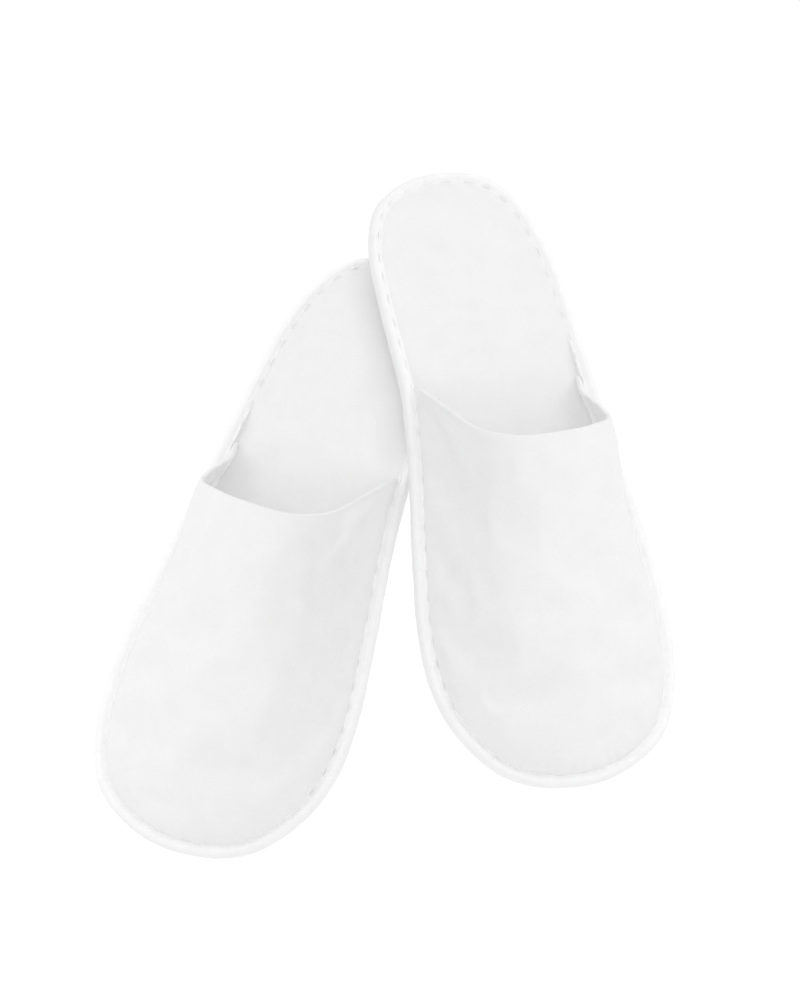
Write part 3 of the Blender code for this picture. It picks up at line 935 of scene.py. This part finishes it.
def lie_matrix(side):
    """Where the slipper lies: its known turn, moved so that its tape fills the CAD one's box."""
    turn, pitch, roll = LIE[side]
    tilt = Matrix.Rotation(pitch, 4, "X") @ Matrix.Rotation(roll, 4, "Y")
    turned = Matrix.Rotation(turn, 4, "Z") @ tilt
    sign = -1 if side == "left" else 1
    world = tape_outline() * (sign * MM, -MM, MM) @ np.array(turned.to_3x3()).T
    low, high = (np.array(corner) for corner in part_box(side + "_edge_binding"))
    shift = (low + high - world.min(axis=0) - world.max(axis=0)) / 2
    slack = np.abs((high - low) - (world.max(axis=0) - world.min(axis=0))).max()
    if slack > FIT_SLACK:
        raise ValueError(f"the {side} slipper doesn't match its CAD tape by {slack:.4f} m")
    return Matrix.Translation(Vector(shift)) @ turned


def add_piece(side, name, mesh, slot, lie):
    """One piece of one slipper, in place on its body, standing for its CAD node."""
    own = mesh.copy()
    if side == "left":
        own.transform(lie @ Matrix.Scale(-1, 4, (1, 0, 0)))
        own.flip_normals()
    else:
        own.transform(lie)
    own.materials.append(LOOKS[slot])
    piece = bpy.data.objects.new(f"{side}_{name}_soft", own)
    bpy.context.scene.collection.objects.link(piece)
    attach(piece, side + "_slipper")
    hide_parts(f"{side}_{name}")
    return piece


def slipper_meshes(grid, t):
    """The right slipper's meshes and material slots, by CAD node name."""
    return {
        "outsole": (outsole_mesh(), "sole_foam"),
        "cushion_foam": (cushion_mesh(), "cushion_foam"),
        "footbed_cover": (footbed_mesh(), "footbed_fabric"),
        "upper_lining": (layer_mesh("lining", grid, t, LINING_LAYER), "lining_fabric"),
        "upper_padding": (layer_mesh("padding", grid, t, PADDING_LAYER), "cushion_foam"),
        "upper_shell": (shell_mesh(grid, t), "shell_fabric"),
        "edge_binding": (binding_mesh(), "binding_tape"),
        "needle_thread": (seam_mesh("needle", over=True), "thread"),
        "bobbin_thread": (seam_mesh("bobbin", over=False), "thread"),
    }


UPPER_GRID, UPPER_T = upper_face()
MESHES = slipper_meshes(UPPER_GRID, UPPER_T)
PIECES = {}
for side in ("left", "right"):
    lie = lie_matrix(side)
    for name, (mesh, slot) in MESHES.items():
        PIECES[side, name] = add_piece(side, name, mesh, slot, lie)
for mesh, _ in MESHES.values():
    bpy.data.meshes.remove(mesh)


# ---- floor, light and camera ----
TARGET = Vector((0.00625, 0.00574, 0.0))
ELEVATION = math.radians(75)
DISTANCE = 1.4
LENS = 113.33
FLOOR_HALF = 6.0
FLOOR_DROP = 0.0004
SKY_STRENGTH = 0.85

# Each slipper's own lights: the direction each comes from, as degrees round from its toe
# towards its outer side and degrees up, then its size, its power and how far off it is.
LAMPS = {
    "key": (60, 65, 0.8, 1.6, 2.0),
    "fill": (-60, 40, 0.6, 3.0, 2.0),
    "side": (110, 35, 1.0, 6.5, 2.0),
    "toe": (14, 50, 0.12, 0.15, 0.6),
    "heel": (180, 32, 1.4, 3.5, 2.0),
    "seep": (-60, -60, 1.0, 12.0, 2.0),
}
THROUGH_CLOTH = ("key", "fill")


def add_floor():
    """A white floor that glows evenly and so takes no shadow."""
    mesh = bpy.data.meshes.new("floor")
    half = FLOOR_HALF
    corners = [(-half, -half, 0), (half, -half, 0), (half, half, 0), (-half, half, 0)]
    mesh.from_pydata(corners, [], [(0, 1, 2, 3)])
    material = bpy.data.materials.new("floor_white")
    material.use_nodes = True
    shader = material.node_tree.nodes["Principled BSDF"]
    shader.inputs["Base Color"].default_value = (0.05, 0.05, 0.05, 1.0)
    shader.inputs["Roughness"].default_value = 0.9
    shader.inputs["Specular IOR Level"].default_value = 0.0
    shader.inputs["Emission Color"].default_value = (1.0, 1.0, 1.0, 1.0)
    shader.inputs["Emission Strength"].default_value = 1.0
    mesh.materials.append(material)
    floor = bpy.data.objects.new("floor", mesh)
    floor.location.z = -FLOOR_DROP
    bpy.context.scene.collection.objects.link(floor)
    return floor


def linked(name, members, state):
    """A collection that a light takes its receivers or its blockers from."""
    group = bpy.data.collections.new(name)
    for member in members:
        group.objects.link(member)
    for entry in group.collection_objects:
        entry.light_linking.link_state = state
    return group


def aim(thing, away, distance):
    """Puts a lamp or camera that far away in that direction, looking at the target."""
    thing.location = TARGET + distance * away
    thing.rotation_euler = (-away).to_track_quat("-Z", "Y").to_euler()
    bpy.context.scene.collection.objects.link(thing)


def add_light(name, azimuth, elevation, size, power, distance, lit, let_through):
    """A square soft box, aimed at the object from that direction.

    It lights only the pieces in `lit`, and the pieces in `let_through` cast no shadow
    from it, as thin white cloth hardly does.
    """
    light = bpy.data.lights.new(name, "AREA")
    light.shape = "SQUARE"
    light.size = size
    light.energy = power
    lamp = bpy.data.objects.new(name, light)
    turn, rise = math.radians(azimuth), math.radians(elevation)
    level = math.cos(rise)
    away = Vector((math.sin(turn) * level, -math.cos(turn) * level, math.sin(rise)))
    aim(lamp, away, distance)
    lamp.light_linking.receiver_collection = linked(name + "_lit", lit, "INCLUDE")
    if let_through:
        blockers = linked(name + "_let_through", let_through, "EXCLUDE")
        lamp.light_linking.blocker_collection = blockers


def add_world(strength):
    """Even white light from every side."""
    world = bpy.data.worlds.new("studio")
    world.use_nodes = True
    background = world.node_tree.nodes["Background"]
    background.inputs["Color"].default_value = (1.0, 1.0, 1.0, 1.0)
    background.inputs["Strength"].default_value = strength
    bpy.context.scene.world = world


def add_camera():
    """The view from high above the toes."""
    camera = bpy.data.cameras.new("camera")
    camera.lens = LENS
    camera.sensor_width = 36.0
    holder = bpy.data.objects.new("camera", camera)
    aim(holder, Vector((0.0, -math.cos(ELEVATION), math.sin(ELEVATION))), DISTANCE)
    bpy.context.scene.camera = holder


def light_slipper(side, outward, floor):
    """Lights one slipper alone.

    The seep light is what comes through the thin cloth: it lights the upper's inner faces
    from below, past everything.
    """
    own = [piece for (owner, _), piece in PIECES.items() if owner == side]
    cloth = [PIECES[side, name] for name in ("upper_shell", "upper_padding", "upper_lining")]
    for name, (azimuth, elevation, size, power, distance) in LAMPS.items():
        lit, let_through = own, ()
        if name == "seep":
            lit, let_through = cloth, (floor, *PIECES.values())
        elif name in THROUGH_CLOTH:
            let_through = cloth
        azimuth = azimuth if name == "heel" else azimuth * outward
        add_light(f"{side}_{name}", azimuth, elevation, size, power, distance, lit, let_through)


FLOOR = add_floor()
light_slipper("left", -1, FLOOR)
light_slipper("right", 1, FLOOR)
add_world(SKY_STRENGTH)
add_camera()
bpy.context.scene.view_settings.view_transform = "Standard"
